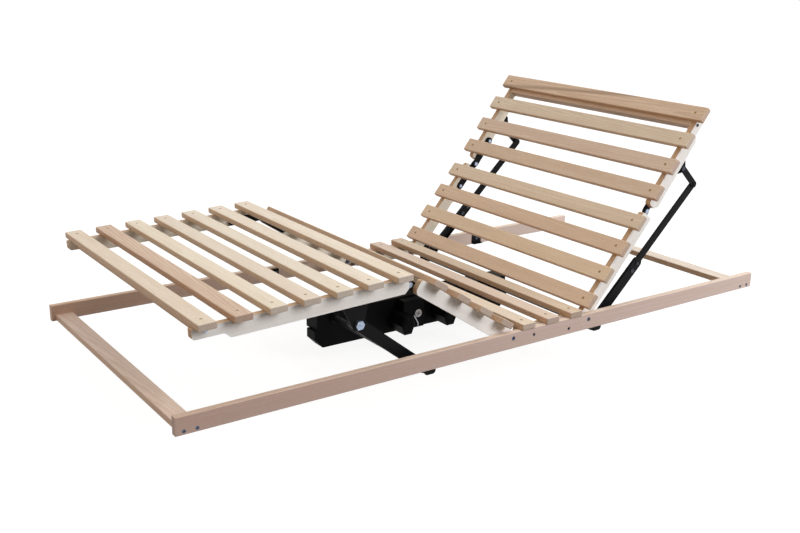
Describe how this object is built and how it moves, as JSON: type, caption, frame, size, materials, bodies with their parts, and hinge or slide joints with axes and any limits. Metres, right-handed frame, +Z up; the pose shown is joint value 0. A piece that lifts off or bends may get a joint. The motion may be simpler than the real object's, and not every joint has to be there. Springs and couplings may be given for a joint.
{
  "type": "adjustable bed base",
  "caption": "Slatted wooden bed base with hinged leg, thigh, back and head sections raised by steel lift arms and a twin spindle drive.",
  "frame": {"origin": "middle of the frame in plan, on the plane of the side rails' undersides, which sit on a bed's ledges", "axes": "+X from foot to head, +Y across the bed to the left of someone lying on it, +Z up"},
  "size_m": [1.98, 0.886, 0.6973],
  "materials": {
    "beech_slat": "planed and lacquered, satin",
    "beech_frame": "planed, eased edges",
    "birch_plywood": "pale faces, layered edges",
    "black_steel": "powder coated, satin",
    "zinc_steel": "bluish zinc plate",
    "bare_steel": "machined",
    "drive_plastic": "fine grain",
    "block_plastic": "plain",
    "circuit_board": "plain"
  },
  "bodies": {
    "frame": {"side_rail_near": "beech_frame", "side_rail_far": "beech_frame", "foot_cross_rail": "beech_frame", "head_cross_rail": "beech_frame", "seat_rails": "birch_plywood", "seat_slat_1": "beech_slat", "seat_slat_2": "beech_slat", "seat_slat_3": "beech_slat", "frame_fasteners": "zinc_steel", "rail_brackets": "black_steel", "drive_housing": "drive_plastic", "drive_cover": "drive_plastic", "shaft_caps": "drive_plastic", "gearmotors": "bare_steel", "control_board": "circuit_board"},
    "thigh": {"thigh_rails": "birch_plywood", "thigh_slat_1": "beech_slat", "thigh_slat_2": "beech_slat", "thigh_slat_3": "beech_slat", "thigh_slat_4": "beech_slat", "thigh_strips": "black_steel", "thigh_fasteners": "zinc_steel"},
    "lower_leg": {"leg_rails": "birch_plywood", "leg_slat_1": "beech_slat", "leg_slat_2": "beech_slat", "leg_slat_3": "beech_slat", "leg_slat_4": "beech_slat", "leg_slat_5": "beech_slat", "leg_slat_6": "beech_slat", "leg_slat_7": "beech_slat", "leg_cross_board": "beech_frame", "leg_strips": "black_steel", "leg_lift_bracket": "black_steel", "leg_fasteners": "zinc_steel"},
    "back": {"back_rails": "birch_plywood", "back_slat_1": "beech_slat", "back_slat_2": "beech_slat", "back_slat_3": "beech_slat", "back_slat_4": "beech_slat", "back_strips": "black_steel", "back_fasteners": "zinc_steel"},
    "head": {"head_rails": "birch_plywood", "head_slat_1": "beech_slat", "head_slat_2": "beech_slat", "head_slat_3": "beech_slat", "head_slat_4": "beech_slat", "head_cross_board": "beech_frame", "head_strips": "black_steel", "head_fasteners": "zinc_steel"},
    "leg_lift": {"leg_lift_shaft": "black_steel", "leg_lift_arm": "black_steel"},
    "back_lift": {"back_lift_shaft": "black_steel", "back_arms": "black_steel", "arm_extensions": "black_steel", "arm_bolts": "zinc_steel"},
    "links": {"head_links": "black_steel"},
    "leg_screw": {"leg_spindle": "bare_steel"},
    "back_screw": {"back_spindle": "bare_steel"},
    "leg_block": {"leg_thrust_block": "block_plastic"},
    "back_block": {"back_thrust_block": "block_plastic"}
  },
  "joints": [
    {"name": "back_raise", "type": "hinge", "parent": "frame", "child": "back", "pos_m": [0.262, 0, 0.029], "axis": [0, -1, 0], "range_deg": [-49.5, 15.5]},
    {"name": "head_fold", "type": "hinge", "parent": "back", "child": "head", "pos_m": [0.50914, 0, 0.30451], "axis": [0, -1, 0], "range_deg": [-2.6, 0.9]},
    {"name": "back_arm_turn", "type": "hinge", "parent": "frame", "child": "back_lift", "pos_m": [0.315, 0, -0.01], "axis": [0, -1, 0], "range_deg": [-51.8, 16.3]},
    {"name": "link_swing", "type": "hinge", "parent": "head", "child": "links", "pos_m": [0.64542, 0, 0.41884], "axis": [0, -1, 0], "range_deg": [-12.8, 40.5]},
    {"name": "thigh_raise", "type": "hinge", "parent": "frame", "child": "thigh", "pos_m": [-0.019, 0, 0.029], "axis": [0, 1, 0], "range_deg": [-33, 7]},
    {"name": "knee_fold", "type": "hinge", "parent": "thigh", "child": "lower_leg", "pos_m": [-0.33924, 0, 0.22624], "axis": [0, -1, 0], "range_deg": [-35.2, 7.6]},
    {"name": "leg_arm_turn", "type": "hinge", "parent": "frame", "child": "leg_lift", "pos_m": [-0.284, 0, -0.01], "axis": [0, 1, 0], "range_deg": [-47.3, 10.1]},
    {"name": "back_block_slide", "type": "slide", "parent": "frame", "child": "back_block", "axis": [1, 0, 0], "range_m": [-0.0443, 0.014]},
    {"name": "leg_block_slide", "type": "slide", "parent": "frame", "child": "leg_block", "axis": [-1, 0, 0], "range_m": [-0.0389, 0.0083]},
    {"name": "back_screw_turn", "type": "hinge", "parent": "frame", "child": "back_screw", "pos_m": [0.2, 0.074, -0.054], "axis": [1, 0, 0], "range_deg": [-3976, 1248]},
    {"name": "leg_screw_turn", "type": "hinge", "parent": "frame", "child": "leg_screw", "pos_m": [-0.2, 0.074, -0.054], "axis": [-1, 0, 0], "range_deg": [-3490, 742]}
  ],
  "couplings": [
    {"joint": "head_fold", "follows": "back_raise", "ratio": 0.050505},
    {"joint": "back_arm_turn", "follows": "back_raise", "ratio": 1.0425},
    {"joint": "link_swing", "follows": "back_raise", "ratio": -0.8125},
    {"joint": "back_block_slide", "follows": "back_raise", "m_per_rad": 0.051075},
    {"joint": "back_screw_turn", "follows": "back_raise", "ratio": 80.228},
    {"joint": "knee_fold", "follows": "thigh_raise", "ratio": 1.0606},
    {"joint": "leg_arm_turn", "follows": "thigh_raise", "ratio": 1.4272},
    {"joint": "leg_block_slide", "follows": "thigh_raise", "m_per_rad": 0.067275},
    {"joint": "leg_screw_turn", "follows": "thigh_raise", "ratio": 105.67}
  ]
}
